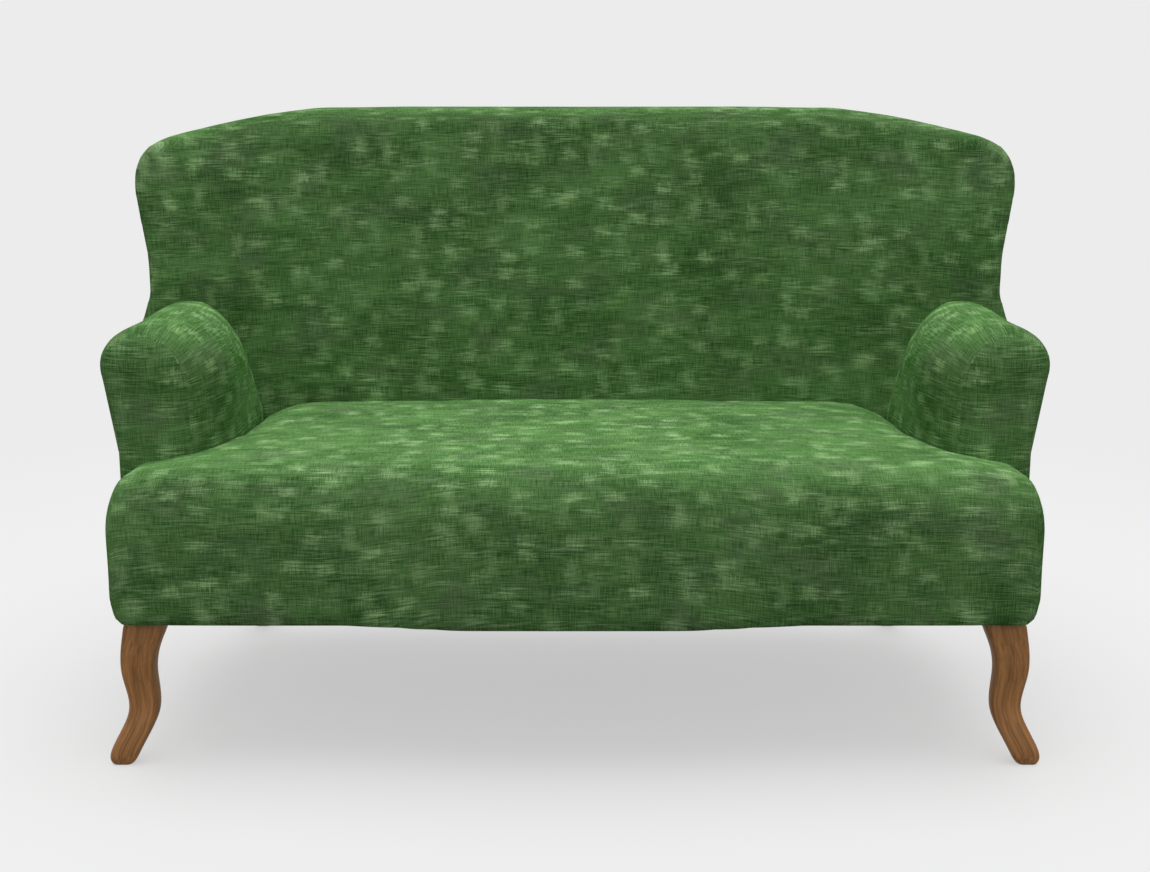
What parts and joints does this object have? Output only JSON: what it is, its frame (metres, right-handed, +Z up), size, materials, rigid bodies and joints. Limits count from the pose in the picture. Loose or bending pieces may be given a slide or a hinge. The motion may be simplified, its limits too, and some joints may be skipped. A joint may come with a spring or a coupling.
{
  "type": "high back settee",
  "caption": "Compact high back settee for two, tightly upholstered over a bowed sprung seat and a winged back, with flared rolled arms, cabriole front legs and raked square rear legs.",
  "frame": {"origin": "centre of the bounding box's bottom face, on the floor between the four foot soles", "axes": "+X to the settee's right-hand end as seen from in front, +Y from the front towards the back, +Z up"},
  "size_m": [1.5348, 0.8062, 0.995],
  "materials": {
    "upholstery_fabric": "matt green slub weave with a soft velvety sheen",
    "frame_wood": "sawn hardwood, unfinished",
    "leg_wood": "satin mid-brown stain",
    "spring_steel": "plain bright wire and strip",
    "foam": "cream upholstery foam",
    "hessian": "coarse jute cloth",
    "dust_cloth": "black non-woven cloth"
  },
  "bodies": {
    "root": {"front_rail": "frame_wood", "back_rail": "frame_wood", "side_rail_left": "frame_wood", "side_rail_right": "frame_wood", "front_corner_block_left": "frame_wood", "front_corner_block_right": "frame_wood", "rear_corner_block_left": "frame_wood", "rear_corner_block_right": "frame_wood", "seat_brace_left": "frame_wood", "seat_brace_right": "frame_wood", "back_post_left": "frame_wood", "back_post_right": "frame_wood", "top_rail": "frame_wood", "back_tack_rail": "frame_wood", "back_upright_left": "frame_wood", "back_upright_right": "frame_wood", "arm_post_left": "frame_wood", "arm_post_right": "frame_wood", "arm_rail_left": "frame_wood", "arm_rail_right": "frame_wood", "arm_tack_rail_left": "frame_wood", "arm_tack_rail_right": "frame_wood", "seat_spring_1": "spring_steel", "seat_spring_2": "spring_steel", "seat_spring_3": "spring_steel", "seat_spring_4": "spring_steel", "seat_spring_5": "spring_steel", "seat_spring_6": "spring_steel", "seat_spring_7": "spring_steel", "seat_spring_8": "spring_steel", "front_clip_strip": "spring_steel", "back_clip_strip": "spring_steel", "spring_tie_wire": "spring_steel", "seat_hessian": "hessian", "seat_foam": "foam", "back_hessian": "hessian", "back_web_1": "hessian", "back_web_2": "hessian", "back_web_3": "hessian", "back_web_4": "hessian", "back_foam": "foam", "arm_foam_left": "foam", "arm_foam_right": "foam", "seat_cover": "upholstery_fabric", "inside_back_cover": "upholstery_fabric", "outside_back_cover": "upholstery_fabric", "arm_cover_left": "upholstery_fabric", "arm_cover_right": "upholstery_fabric", "outside_arm_cover_left": "upholstery_fabric", "outside_arm_cover_right": "upholstery_fabric", "front_leg_left": "leg_wood", "front_leg_right": "leg_wood", "rear_leg_left": "leg_wood", "rear_leg_right": "leg_wood", "front_leg_stud_left": "spring_steel", "front_leg_stud_right": "spring_steel", "rear_leg_stud_left": "spring_steel", "rear_leg_stud_right": "spring_steel", "dust_cover": "dust_cloth"}
  },
  "joints": []
}
